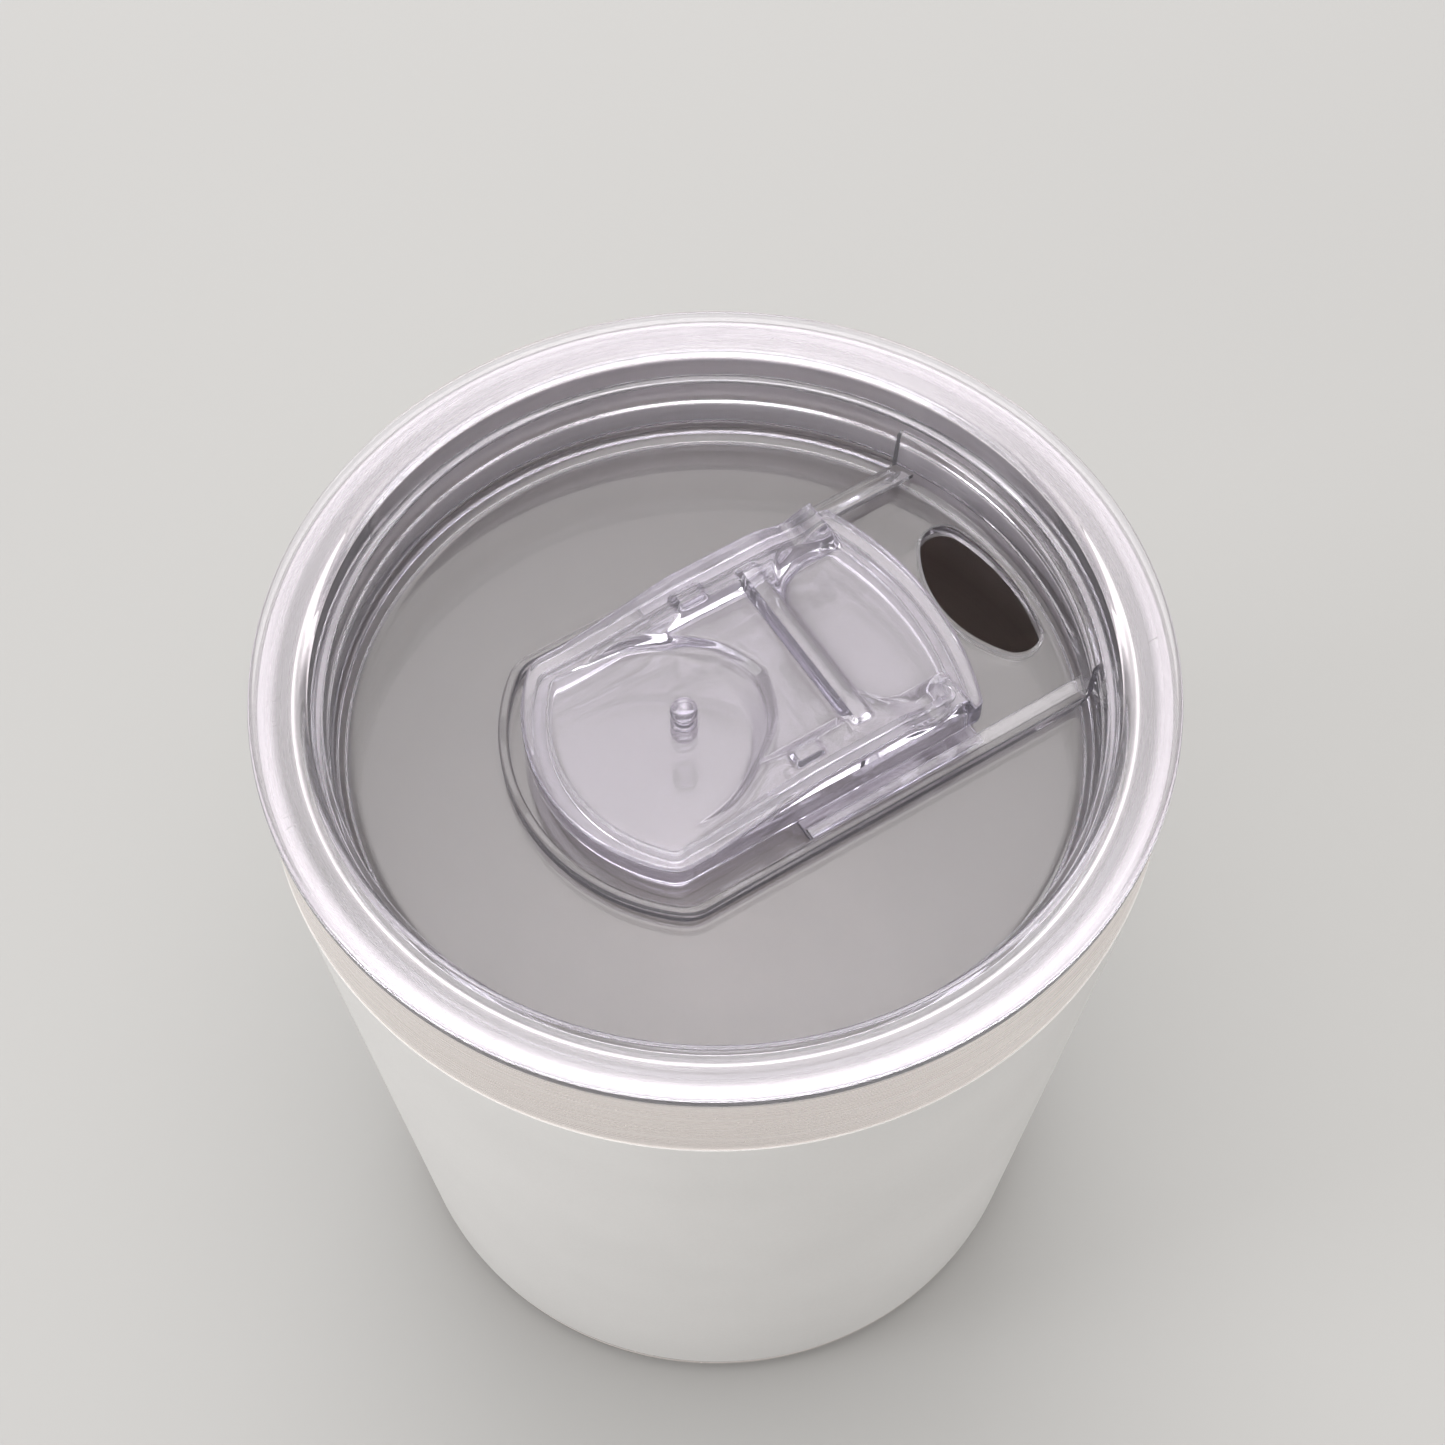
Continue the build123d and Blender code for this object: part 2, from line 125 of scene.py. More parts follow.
TRACK_HALF = 16.9  # centre line to the outer face of each rail
TRACK_REAR = 21.3
TRACK_CORNER = 4.0
WALL_REACH = 37.9  # rails end inside the wall at this radius
RAIL = 1.0
RAIL_HEIGHT = 1.6
RAIL_ROOT = 0.4
RAIL_ROUND = 0.28
RAIL_ARC_STEPS = 48
LIP_X = (1.0, 34.0)
LIP_SIDES = (14.6, 16.4)
LIP_HEIGHTS = (FLOOR + 0.93, FLOOR + 1.57)
LIP_ROUND = 0.15

# points of the drink hole on the +Y half of its outline
HOLE_FRONT = (35.6, 0)
HOLE_FRONT_END = (34.3, 7.6)
HOLE_SIDE = (32.0, 9.1)
HOLE_REAR_END = (29.6, 8.1)
HOLE_REAR = (26.8, 0)
# height over the floor's top face, and how far the hole opens out there
HOLE_LEVELS = [
    (-2.8, 0.3), (-1.8, 0.3), (-1.55, 0.0), (-0.4, 0.0), (-0.16, 0.08), (0.0, 0.36), (0.3, 0.6),
]

# ---- slider sizes ----------------------------------------------------------------------------------
DECK = -6.0
SLIDER_HALF = 14.0
SLIDER_REAR = 18.9
SLIDER_REAR_CORNER = 3.0
SLIDER_SIDE_END = 22.0
SLIDER_FRONT_CORNER = 1.2
SLIDER_NOSE = 25.0
NOSE_SHOULDER = (24.25, 7.0)
SLIDER_SKIN = 1.6
BROW_ROUND = 0.45  # rounding of the top's outer edge
WALL_FOOT_Z = -8.7
SPINE = (-6.0, 14.0)  # the rings of the slider's skin close in on this stretch of the centre line
# inset from the outline and height, from the wall's foot down under it and up into the hollow
STEP_PROFILE = [(0.05, -8.85), (0.2, -8.9), (0.8, -8.9), (0.95, -8.95), (1.0, -9.1)]
FOOT_PROFILE = [
    (1.0, -10.0), (1.0, -10.85), (1.06, -11.0), (1.2, -11.05), (2.2, -11.05), (2.35, -11.0), (2.4, -10.85),
]
HOLLOW_PROFILE = [(2.4, -9.6), (2.4, -8.4), (2.48, -7.95), (2.7, -7.68)]
HOLLOW_INSET = 3.0
HOLLOW_SHARE = 0.35  # how far the hollow follows the grip
GRIP_RISE = 2.4  # arms over the deck
PLATEAU_FALL = 1.0  # plateau between the arms, below their top
ARM_START = -9.0
ARM_RUN = 12.0
ARM_INNER = 9.6  # the arms have their full height outside this
DISH_X = -8.2
DISH_RADIUS = 10.4
PLATEAU_END = 11.5
POCKET_START = 9.0
POCKET_END = 20.7
SCOOP_X = 16.4
SCOOP_DEPTH = 1.1
SCOOP_WIDTH = 2.0
RIDGE_RISE = 3.1
RIDGE_END = 12.2  # how far it reaches to each side
POST_X = 3.6
POST_Y = 10.6
POST_RISE = 3.0
POST_HALF_LENGTH = 2.2
POST_HALF_WIDTH = 1.6
GRIP_BLUR = 0.15
HOLLOW_BLUR = 0.9
GRID = 0.1  # spacing of the height grids
GRID_X = (-21.0, 27.0)
GRID_Y = (-16.0, 16.0)
TONGUE_X = (1.0, 21.3)
TONGUE_SIDES = (12.95, 15.4)
TONGUE_HEIGHTS = (-11.05, -10.45)
TONGUE_ROUND = 0.12
NUB_X = -3.6
NUB_CENTRE = DECK + 1.75
NUB_BALL = 1.36
NUB_NECK = 0.95

# ---- mesh detail -----------------------------------------------------------------------------------
MM = 0.001
TURN_STEPS = 384  # segments round every turned piece
SECTOR_STEPS = 96
SHARP_ANGLE = 35.0
LID_SHARP_ANGLE = 32.0
MERGE_DISTANCE = 1e-7
SHORTEST_EDGE = 1e-8
ON_AXIS = 1e-6
OUTLINE_POINTS = 314  # on half of the slider's outline
TOP_RINGS = 90
HOLLOW_RINGS = 34

# ---- camera and light, metres ------------------------------------------------------------------------
CAMERA_BACK = 0.14403  # horizontal distance from the cup's axis
CAMERA_RISE = 0.2241  # height above the lid
CAMERA_AZIMUTH = math.radians(32.18)
CAMERA_PITCH = math.radians(58.34)
CAMERA_YAW = math.radians(0.27)
LENS = 69.83
SENSOR_WIDTH = 36.0
NEAREST_SEEN = 0.01
FARTHEST_SEEN = 50.0

FLOOR_HALF = 3.0
FLOOR_Z = -0.0002
LIGHT_TARGET = (0, 0, 0.09)
SKY_COLOR = (1.0, 0.975, 0.95, 1.0)
HORIZON_LEVEL = 0.62
ZENITH_LEVEL = 0.85
GLOW_LEVEL = 3.3
GLOW_HEADING = math.radians(58)  # from +X, the way the long overhead softbox runs
GLOW_MIDDLE = 0.02  # its middle, its half length and its half width, as parts of the sky's radius
GLOW_HALF_LENGTH = 0.68
GLOW_HALF_WIDTH = 0.50
GLOW_END = 1.3  # its soft edge ends where the squares of the two shares add up to this
GLOW_HORIZON = 0.2  # it fades in from the horizon to this height


def make_camera():
    side, ahead = math.sin(CAMERA_AZIMUTH), math.cos(CAMERA_AZIMUTH)
    data = bpy.data.cameras.new("camera")
    data.lens = LENS
    data.sensor_width = SENSOR_WIDTH
    data.clip_start = NEAREST_SEEN
    data.clip_end = FARTHEST_SEEN
    camera = bpy.data.objects.new("camera", data)
    bpy.context.scene.collection.objects.link(camera)
    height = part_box("lid_body")[1].z + CAMERA_RISE
    heading = CAMERA_AZIMUTH + CAMERA_YAW
    forward = Vector((
        math.cos(CAMERA_PITCH) * math.sin(heading),
        math.cos(CAMERA_PITCH) * math.cos(heading),
        -math.sin(CAMERA_PITCH),
    ))
    camera.rotation_mode = "QUATERNION"
    camera.location = (-CAMERA_BACK * side, -CAMERA_BACK * ahead, height)
    camera.rotation_quaternion = forward.to_track_quat("-Z", "Y")
    bpy.context.scene.camera = camera


make_camera()


# ---- node helpers ----------------------------------------------------------------------------------
NOISE_LOW, NOISE_HIGH = 0.3, 0.7  # most of a noise lies between these


class Graph:
    """Small wrapper that builds the node tree of a material or a world."""

    def __init__(self, owner, shader="Principled BSDF", output="Material Output"):
        owner.use_nodes = True
        self.owner = owner
        self.tree = owner.node_tree
        self.shader = self.tree.nodes[shader]
        self.output = self.tree.nodes[output]

    def node(self, kind, values=None, **settings):
        made = self.tree.nodes.new(kind)
        for key, value in settings.items():
            setattr(made, key, value)
        for key, value in (values or {}).items():
            self.put(made.inputs[key], value)
        return made

    def put(self, socket, value):
        if isinstance(value, bpy.types.NodeSocket):
            self.tree.links.new(value, socket)
        else:
            socket.default_value = value

    def set(self, **values):
        for key, value in values.items():
            self.put(self.shader.inputs[key.replace("_", " ")], value)

    def fed_by(self, name):
        """The socket that feeds one of the shader's inputs so far."""
        return self.shader.inputs[name].links[0].from_socket

    def math(self, operation, first, second=0.0):
        made = self.node("ShaderNodeMath", operation=operation)
        self.put(made.inputs[0], first)
        self.put(made.inputs[1], second)
        return made.outputs[0]

    def squares(self, first, second):
        """Sum of the squares of two values."""
        return self.math("ADD", self.math("MULTIPLY", first, first), self.math("MULTIPLY", second, second))

    def place(self):
        return self.node("ShaderNodeTexCoord").outputs["Object"]

    def split(self, vector):
        return self.node("ShaderNodeSeparateXYZ", {"Vector": vector}).outputs

    def noise(self, vector, scale=1.0, detail=3.0, roughness=0.5):
        """Noise from 0 to 1, mostly near 0.5, with scale in waves per metre."""
        values = {"Vector": vector, "Scale": scale, "Detail": detail, "Roughness": roughness}
        return self.node("ShaderNodeTexNoise", values).outputs["Fac"]

    def span(self, value, low, high, start=0.0, end=1.0):
        """Goes from start to end as value goes from low to high, and stops there."""
        values = {"Value": value, "From Min": low, "From Max": high, "To Min": start, "To Max": end}
        return self.node("ShaderNodeMapRange", values).outputs["Result"]

    def spread(self, noise, start, end):
        """Goes from start to end over the middle of a noise."""
        return self.span(noise, NOISE_LOW, NOISE_HIGH, start, end)

    def ramp(self, factor, first, second, low=NOISE_LOW, high=NOISE_HIGH):
        """Colour that goes from first to second as factor goes from low to high."""
        made = self.node("ShaderNodeValToRGB")
        self.put(made.inputs["Fac"], factor)
        stops = [(low, first), (high, second)]
        for element, (position, color) in zip(made.color_ramp.elements, stops):
            element.position = position
            element.color = (*color, 1.0)
        return made.outputs["Color"]

    def mixed(self, factor, first, second):
        """Colour that goes from first to second as factor goes from 0 to 1."""
        mix = self.node("ShaderNodeMix", data_type="RGBA")
        self.put(mix.inputs["Factor"], factor)
        colors = [socket for socket in mix.inputs if socket.type == "RGBA"]
        self.put(colors[0], first)
        self.put(colors[1], second)
        return [socket for socket in mix.outputs if socket.type == "RGBA"][0]

    def bump(self, height, strength, distance, normal=None):
        values = {"Height": height, "Strength": strength, "Distance": distance}
        if normal is not None:
            values["Normal"] = normal
        return self.node("ShaderNodeBump", values).outputs["Normal"]

    def turned_place(self, radius):
        """Coordinates wrapped round the axis: distance along the circle, height, radius."""
        x, y, z = self.split(self.place())
        length = self.math("SQRT", self.squares(x, y))
        values = {"X": self.math("MULTIPLY", self.math("ARCTAN2", y, x), radius), "Y": z, "Z": length}
        return self.node("ShaderNodeCombineXYZ", values).outputs["Vector"]

    def stretched(self, vector, scale):
        made = self.node("ShaderNodeMapping", {"Vector": vector, "Scale": scale})
        return made.outputs["Vector"]


# ---- materials, with scales per metre and lengths in metres --------------------------------------------
LIP_SHADE_RADIUS = 0.0424  # painted shade makes the lip's steel darker inside this radius
LIP_SHADE_HALF = 0.0006  # half the width over which it changes
LIP_FOOT = (0.0929, 0.0934)  # the band turns into the lip, with its painted shade, between these heights
COLLAR = (0.070, 0.083)  # the painted shade on the vessel's steel fades out upward between these heights
DULLEST = 0.010  # and is roughest from this height down


def clear_plastic(name, tint):
    """Clear moulded plastic: faint flow waves, slow change of gloss, lavender in thick sections."""
    g = Graph(bpy.data.materials.new(name))
    place = g.place()
    waves = g.noise(place, scale=60.0, detail=2.0)
    gloss = g.noise(place, scale=140.0, detail=2.0)
    paler = tuple(min(1, c * 1.03) for c in tint)
    g.set(
        Base_Color=g.ramp(waves, tint, paler),
        Roughness=g.spread(gloss, 0.02, 0.05),
        IOR=1.57,
        Transmission_Weight=0.93,
        Normal=g.bump(waves, strength=0.05, distance=0.0003),
    )
    lavender = (0.80, 0.75, 0.96, 1.0)
    absorb = g.node("ShaderNodeVolumeAbsorption", {"Color": lavender, "Density": 34.0})
    g.tree.links.new(absorb.outputs["Volume"], g.output.inputs["Volume"])
    return g.owner


def brushed_steel(name, dark, light, rough, radius):
    """Graph of satin steel brushed round the axis, with soft streaks and a few hairline scratches."""
    g = Graph(bpy.data.materials.new(name))
    wrapped = g.turned_place(radius)
    lines = g.noise(g.stretched(wrapped, (25.0, 3500.0, 3500.0)), detail=4.0)
    bands = g.noise(g.stretched(wrapped, (14.0, 700.0, 700.0)))
    streaks = g.math("ADD", g.math("MULTIPLY", bands, 0.5), g.math("MULTIPLY", lines, 0.5))
    hairs = g.noise(g.stretched(g.place(), (260.0, 2600.0, 900.0)), detail=2.0)
    scratch = g.span(hairs, 0.70, 0.74)
    brushing = g.bump(lines, strength=0.04, distance=0.00003)
    g.set(
        Base_Color=g.ramp(streaks, dark, light, low=0.34, high=0.62),
        Metallic=1.0,
        Anisotropic=0.75,
        Anisotropic_Rotation=0.25,
        Roughness=g.math("ADD", g.spread(lines, *rough), g.math("MULTIPLY", scratch, 0.15)),
        Normal=g.bump(scratch, strength=0.08, distance=0.00002, normal=brushing),
    )
    return g


def rim_steel(name):
    """Bright band below a lip whose colour is painted shade: dark overall and darkest towards the mouth."""
    g = brushed_steel(name, (0.94, 0.875, 0.85), (0.99, 0.935, 0.915), rough=(0.24, 0.32), radius=0.044)
    x, y, z = g.split(g.place())
    radius = g.math("SQRT", g.squares(x, y))
    streaks = g.noise(g.stretched(g.turned_place(0.042), (25.0, 900.0, 900.0)))
    # painted shade: the lip's steel colour is darkened, most of all towards the mouth
    painted_lip_tone = g.span(radius, LIP_SHADE_RADIUS - LIP_SHADE_HALF, LIP_SHADE_RADIUS + LIP_SHADE_HALF, 0.19, 0.46)
    shade = g.math("ADD", painted_lip_tone, g.math("MULTIPLY", streaks, 0.12))
    lip = g.ramp(shade, (0.0, 0.0, 0.0), (1.0, 0.965, 0.99), low=0.0, high=1.0)
    painted_lip_mask = g.span(z, *LIP_FOOT)
    g.set(Base_Color=g.mixed(painted_lip_mask, g.fed_by("Base Color"), lip))
    return g.owner


def vessel_steel(name):
    """Drawn steel that is rougher down inside, with painted shade that darkens its colour below the collar.
    """
    g = brushed_steel(name, (0.82, 0.79, 0.77), (0.92, 0.90, 0.88), rough=(0.30, 0.42), radius=0.038)
    height = g.split(g.place())["Z"]
    extra = g.span(height, DULLEST, COLLAR[1], 0.35, 0.0)
    unshaded_share = g.span(height, *COLLAR)
    # painted shade: the steel's colour turns dark brown-grey down inside the vessel
    painted_deep_shade = (0.40, 0.345, 0.32, 1.0)
    g.set(
        Roughness=g.math("ADD", g.fed_by("Roughness"), extra),
        Base_Color=g.mixed(unshaded_share, painted_deep_shade, g.fed_by("Base Color")),
    )
    return g.owner


def foil(name):
    """Bright foil on the vessel's hidden side."""
    return brushed_steel(name, (0.7, 0.7, 0.7), (0.85, 0.85, 0.85), rough=(0.1, 0.2), radius=0.038).owner


def base_steel(name):
    """Duller steel of the parts under the cup."""
    return brushed_steel(name, (0.58, 0.56, 0.54), (0.72, 0.70, 0.68), rough=(0.25, 0.4), radius=0.02).owner


def powder_coat(name):
    """Off-white coat with a fine grain and a faint cloudiness."""
    g = Graph(bpy.data.materials.new(name))
    place = g.place()
    grain = g.noise(place, scale=2600.0, roughness=0.6)
    cloud = g.noise(place, scale=45.0, detail=2.0)
    g.set(
        Base_Color=g.ramp(cloud, (0.71, 0.705, 0.70), (0.75, 0.745, 0.74)),
        Roughness=g.spread(grain, 0.45, 0.62),
        Normal=g.bump(grain, strength=0.5, distance=0.00006),
    )
    return g.owner


def silicone(name, tint, transmission=0.0):
    """Satin rubbery surface with a fine grain. The glass bead and the getter use it too."""
    g = Graph(bpy.data.materials.new(name))
    grain = g.noise(g.place(), scale=1800.0)
    darker = tuple(c * 0.95 for c in tint)
    g.set(
        Base_Color=g.ramp(grain, darker, tint),
        Roughness=g.spread(grain, 0.35, 0.5),
        IOR=1.41,
        Transmission_Weight=transmission,
        Normal=g.bump(grain, strength=0.2, distance=0.00003),
    )
    return g.owner


# ---- mesh helpers ----------------------------------------------------------------------------------


def link(name, mesh):
    piece = bpy.data.objects.new(name, mesh)
    bpy.context.scene.collection.objects.link(piece)
    return piece


def smooth(mesh, angle=SHARP_ANGLE):
    mesh.polygons.foreach_set("use_smooth", [True] * len(mesh.polygons))
    mesh.set_sharp_from_angle(angle=math.radians(angle))
    mesh.update()


def mesh_from(name, points, faces):
    """Mesh in metres from millimetre points, with doubles merged and faces turned outward."""
    mesh = bpy.data.meshes.new(name)
    mesh.from_pydata([Vector(p) * MM for p in points], [], faces)
    bm = bmesh.new()
    bm.from_mesh(mesh)
    bmesh.ops.remove_doubles(bm, verts=bm.verts, dist=MERGE_DISTANCE)
    bmesh.ops.dissolve_degenerate(bm, edges=bm.edges, dist=SHORTEST_EDGE)
    bmesh.ops.recalc_face_normals(bm, faces=bm.faces)
    bm.to_mesh(mesh)
    bm.free()
    smooth(mesh)
    return mesh


def joined(name, meshes):
    """Object that holds several meshes as they are."""
    bm = bmesh.new()
    for mesh in meshes:
        bm.from_mesh(mesh)
    made = bpy.data.meshes.new(name)
    bm.to_mesh(made)
    bm.free()
    smooth(made)
    return link(name, made)


def combine(name, base, added, removed):
    """Object of base with the added meshes welded on and the removed ones cut out."""
    piece = link(name, base)
    helpers = []
    for mesh, operation in [(m, "UNION") for m in added] + [(m, "DIFFERENCE") for m in removed]:
        helper = link("helper_" + mesh.name, mesh)
        helpers.append(helper)
        modifier = piece.modifiers.new(mesh.name, "BOOLEAN")
        modifier.object = helper
        modifier.operation = operation
        modifier.solver = "EXACT"
    bpy.context.view_layer.update()
    evaluated = piece.evaluated_get(bpy.context.evaluated_depsgraph_get())
    result = bpy.data.meshes.new_from_object(evaluated)
    piece.modifiers.clear()
    piece.data = result
    for helper in helpers:
        bpy.data.objects.remove(helper)
    smooth(result, LID_SHARP_ANGLE)
    return piece


def ring_faces(rings, count):
    """Quads that join rings of count points each, in order."""
    faces = []
    for k in range(rings - 1):
        near, far = k * count, (k + 1) * count
        for i in range(count):
            j = (i + 1) % count
            faces.append((near + i, near + j, far + j, far + i))
    return faces


def capped_faces(rings, count):
    """The same quads, and a face across the first and the last ring."""
    last = (rings - 1) * count
    return ring_faces(rings, count) + [tuple(range(count)), tuple(range(last, last + count))]


def rounded(corners, closed=True, steps=8):
    """Points along a polygon of (x, y, fillet radius) corners, with arcs at the fillets."""
    count = len(corners)
    points = []
    for i, (x, y, radius) in enumerate(corners):
        here = Vector((x, y))
        if radius <= 0 or (not closed and i in (0, count - 1)):
            points.append(here)
            continue
        before = (Vector(corners[i - 1][:2]) - here).normalized()
        after = (Vector(corners[(i + 1) % count][:2]) - here).normalized()
        half = before.angle(after) / 2
        reach = radius / math.tan(half)
        middle = here + (before + after).normalized() * (radius / math.sin(half))
        start = here + before * reach - middle
        sweep = math.pi - 2 * half
        if start.cross(here + after * reach - middle) < 0:
            sweep = -sweep
        for k in range(steps + 1):
            turn = Matrix.Rotation(sweep * k / steps, 2)
            points.append(middle + turn @ start)
    return points


def arc_points(start, through, end, steps):
    """Points on the circle through three points, without the last one."""
    (ax, ay), (bx, by), (cx, cy) = start, through, end
    d = 2 * (ax * (by - cy) + bx * (cy - ay) + cx * (ay - by))
    ux = ((ax**2 + ay**2) * (by - cy) + (bx**2 + by**2) * (cy - ay) + (cx**2 + cy**2) * (ay - by)) / d
    uy = ((ax**2 + ay**2) * (cx - bx) + (bx**2 + by**2) * (ax - cx) + (cx**2 + cy**2) * (bx - ax)) / d
    first = math.atan2(ay - uy, ax - ux)
    middle = (math.atan2(by - uy, bx - ux) - first) % (2 * math.pi)
    last = (math.atan2(cy - uy, cx - ux) - first) % (2 * math.pi)
    if middle > last:
        last -= 2 * math.pi
    radius = math.hypot(ax - ux, ay - uy)
    angles = [first + last * k / steps for k in range(steps)]
    return [(ux + radius * math.cos(angle), uy + radius * math.sin(angle)) for angle in angles]


def turned(name, corners, drop=0.0, steps=TURN_STEPS):
    """Solid of revolution about Z from (radius, height, fillet) corners in millimetres."""
    outline = rounded(corners)
    count = len(outline)
    points = []
    for k in range(steps):
        angle = 2 * math.pi * k / steps
        c, s = math.cos(angle), math.sin(angle)
        points += [(p.x * c, p.x * s, p.y + drop) for p in outline]
    faces = []
    for k in range(steps):
        a, b = k * count, (k + 1) % steps * count
        for i in range(count):
            j = (i + 1) % count
            if outline[i].x < ON_AXIS and outline[j].x < ON_AXIS:
                continue
            faces.append((a + i, a + j, b + j, b + i))
    return mesh_from(name, points, faces)


def sector_mesh(name, corners, half_width):
    """Turned solid cut square at y = +-half_width, on the +X side."""
    outline = rounded(corners)
    points = []
    for k in range(SECTOR_STEPS + 1):
        share = 2 * k / SECTOR_STEPS - 1
        for p in outline:
            angle = share * math.asin(half_width / p.x)
            points.append((p.x * math.cos(angle), p.x * math.sin(angle), p.y + LID_TOP))
    return mesh_from(name, points, capped_faces(SECTOR_STEPS + 1, len(outline)))


def swept_mesh(name, path, section):
    """Closed section, as (outward, height) points, carried along a flat path."""
    points = []
    for i, here in enumerate(path):
        before, after = path[max(i - 1, 0)], path[min(i + 1, len(path) - 1)]
        along = (after - before).normalized()
        outward = Vector((along.y, -along.x))
        points += [(here.x + outward.x * p.x, here.y + outward.y * p.x, p.y + LID_TOP) for p in section]
    return mesh_from(name, points, capped_faces(len(path), len(section)))


def bar_pair(name, x_range, sides, heights, round_off):
    """Two straight bars along X with rounded long edges, one on each side of the centre line."""
    low, high = heights
    path = [Vector((x, 0)) for x in reversed(x_range)]
    pair = []
    for side in (-1, 1):
        near, far = sorted(side * y for y in sides)
        corners = [(near, low), (far, low), (far, high), (near, high)]
        section = rounded([(*corner, round_off) for corner in corners], steps=4)
        pair.append(swept_mesh(f"{name}_{side}", path, section))
    return pair


# ---- cup -------------------------------------------------------------------------------------------


def taper(height, offset=0.0):
    """Outside radius of the shell's taper at a height, moved outward by offset."""
    return SHELL_FOOT + (SHELL - SHELL_FOOT) * (height - FOOT_Z) / (SHOULDER_Z - FOOT_Z) + offset


def shell_mesh():
    """Shell whose lip crowns softly and falls away to both sides."""
    return turned("outer_shell_mesh", [
        (MOUTH + SHEET, RIM_TOP - LIP_FALL, 0),
        (CROWN, RIM_TOP - CROWN_FALL, CROWN_BEND),
        (SHELL, RIM_TOP - LIP_EDGE_FALL, LIP_EDGE_ROUND),
        (SHELL, SHOULDER_Z, SHOULDER_BEND),
        (SHELL_FOOT, FOOT_Z, FOOT_BEND),
        (RECESS, FOOT_Z, 0.3),
        (RECESS, RECESS_TOP, 0),
        (RECESS + SHEET, RECESS_TOP, 0),
        (RECESS + SHEET, FOOT_Z + SHEET, 0),
        (SHELL_FOOT - SHEET, FOOT_Z + SHEET, FOOT_BEND - SHEET),
        (SHELL - SHEET, SHOULDER_Z, SHOULDER_BEND - SHEET),
        (SHELL - SHEET, RIM_TOP - RIM_DEPTH, 0.3),
        (MOUTH + SHEET, RIM_TOP - RIM_DEPTH, 0),
    ])


def vessel_mesh():
    """Vessel with a straight collar at the mouth above a tapering wall."""
    outer = MOUTH + SHEET - GAP / 2
    return turned("inner_vessel_mesh", [
        (0, VESSEL_FLOOR, 0),
        (VESSEL_BASE + SHEET, VESSEL_FLOOR, VESSEL_BEND + SHEET),
        (outer, COLLAR_Z, COLLAR_BEND),
        (outer, RIM_TOP - LIP_FALL - GAP / 2, 0),
        (MOUTH, RIM_TOP - LIP_FALL - 0.15, 0.45),
        (MOUTH, COLLAR_Z, COLLAR_BEND + SHEET),
        (VESSEL_BASE, VESSEL_FLOOR + SHEET, VESSEL_BEND),
        (0, VESSEL_FLOOR + SHEET, 0),
    ])


def coat_mesh():
    return turned("powder_coat_mesh", [
        (taper(COAT_TOP), COAT_TOP, 0),
        (taper(COAT_BOTTOM), COAT_BOTTOM, 0),
        (taper(COAT_BOTTOM, COAT), COAT_BOTTOM, COAT_EDGE_ROUND),
        (taper(COAT_TOP, COAT), COAT_TOP, COAT_EDGE_ROUND),
    ])


def cap_mesh():
    outer = RECESS - GAP
    inner = RECESS - CAP_SHEET
    return turned("base_cap_mesh", [
        (0, CAP_Z, 0),
        (outer, CAP_Z, 0.6),
        (outer, CAP_TOP, 0),
        (inner, CAP_TOP, 0),
        (inner, CAP_Z + CAP_SHEET, 0.2),
        (0, CAP_Z + CAP_SHEET, 0),
    ])


def pad_mesh():
    """Foot pad whose underside has round grooves."""
    corners = [(0, 0, 0)]
    for middle in PAD_GROOVES:
        corners += [
            (middle - GROOVE_HALF, 0, 0.15),
            (middle - GROOVE_HALF, GROOVE_DEPTH, 0.3),
            (middle + GROOVE_HALF, GROOVE_DEPTH, 0.3),
            (middle + GROOVE_HALF, 0, 0.15),
        ]
    corners += [(PAD, 0, 0.5), (PAD, CAP_Z - GAP, 0.1), (0, CAP_Z - GAP, 0)]
    return turned("foot_pad_mesh", corners)


# ---- lid -------------------------------------------------------------------------------------------


def lid_shell_mesh():
    """Flange, stepped well wall, floor and skirt, with the gasket's groove."""
    return turned("lid_shell_mesh", [
        (0, FLOOR, 0),
        (WELL_FOOT, FLOOR, WELL_FOOT_ROUND),
        (*LEDGE_INNER, LEDGE_ROUND),
        (*LEDGE_OUTER, LEDGE_ROUND),
        (WELL_TOP, 0, 0.9),
        (FLANGE, 0, 0.6),
        (FLANGE, FLANGE_Z, 0.3),
        (SKIRT, FLANGE_Z, 0.15),
        (SKIRT, GROOVE_TOP, 0.2),
        (GROOVE, GROOVE_TOP, 0.2),
        (GROOVE, GROOVE_BOTTOM, 0.2),
        (SKIRT - 0.2, GROOVE_BOTTOM, 0.3),
        (*SKIRT_FOOT, 0.5),
        (*SKIRT_INNER_FOOT, 0.4),
        (SKIRT_INNER_TOP, UNDERSIDE, 0.5),
        (0, UNDERSIDE, 0),
    ], drop=LID_TOP)


def gasket_mesh():
    """Silicone ring with two sealing ribs."""
    return turned("lid_gasket_mesh", [
        (GASKET_INNER, GASKET_TOP, 0.3),
        (GASKET, GASKET_TOP, 0.35),
        (GASKET, GASKET_TOP - GASKET_RIB, 0.35),
        (GASKET_WAIST, GASKET_TOP - GASKET_RIB - 0.2, 0.1),
        (GASKET_WAIST, GASKET_BOTTOM + GASKET_RIB + 0.2, 0.1),
        (GASKET, GASKET_BOTTOM + GASKET_RIB, 0.35),
        (GASKET, GASKET_BOTTOM, 0.35),
        (GASKET_INNER, GASKET_BOTTOM, 0.3),
    ], drop=LID_TOP)


def spout_wall_mesh():
    """Steeper wall section between the rails, behind the drink hole."""
    back_top, back_foot = SPOUT_BACK
    return sector_mesh("spout_wall_mesh", [
        (SPOUT_FOOT, FLOOR - ROOT, 0),
        (SPOUT_TOP, SPOUT_Z, 0.4),
        (back_top, SPOUT_Z, 0),
        (back_foot, FLOOR - ROOT, 0),
    ], TRACK_HALF)


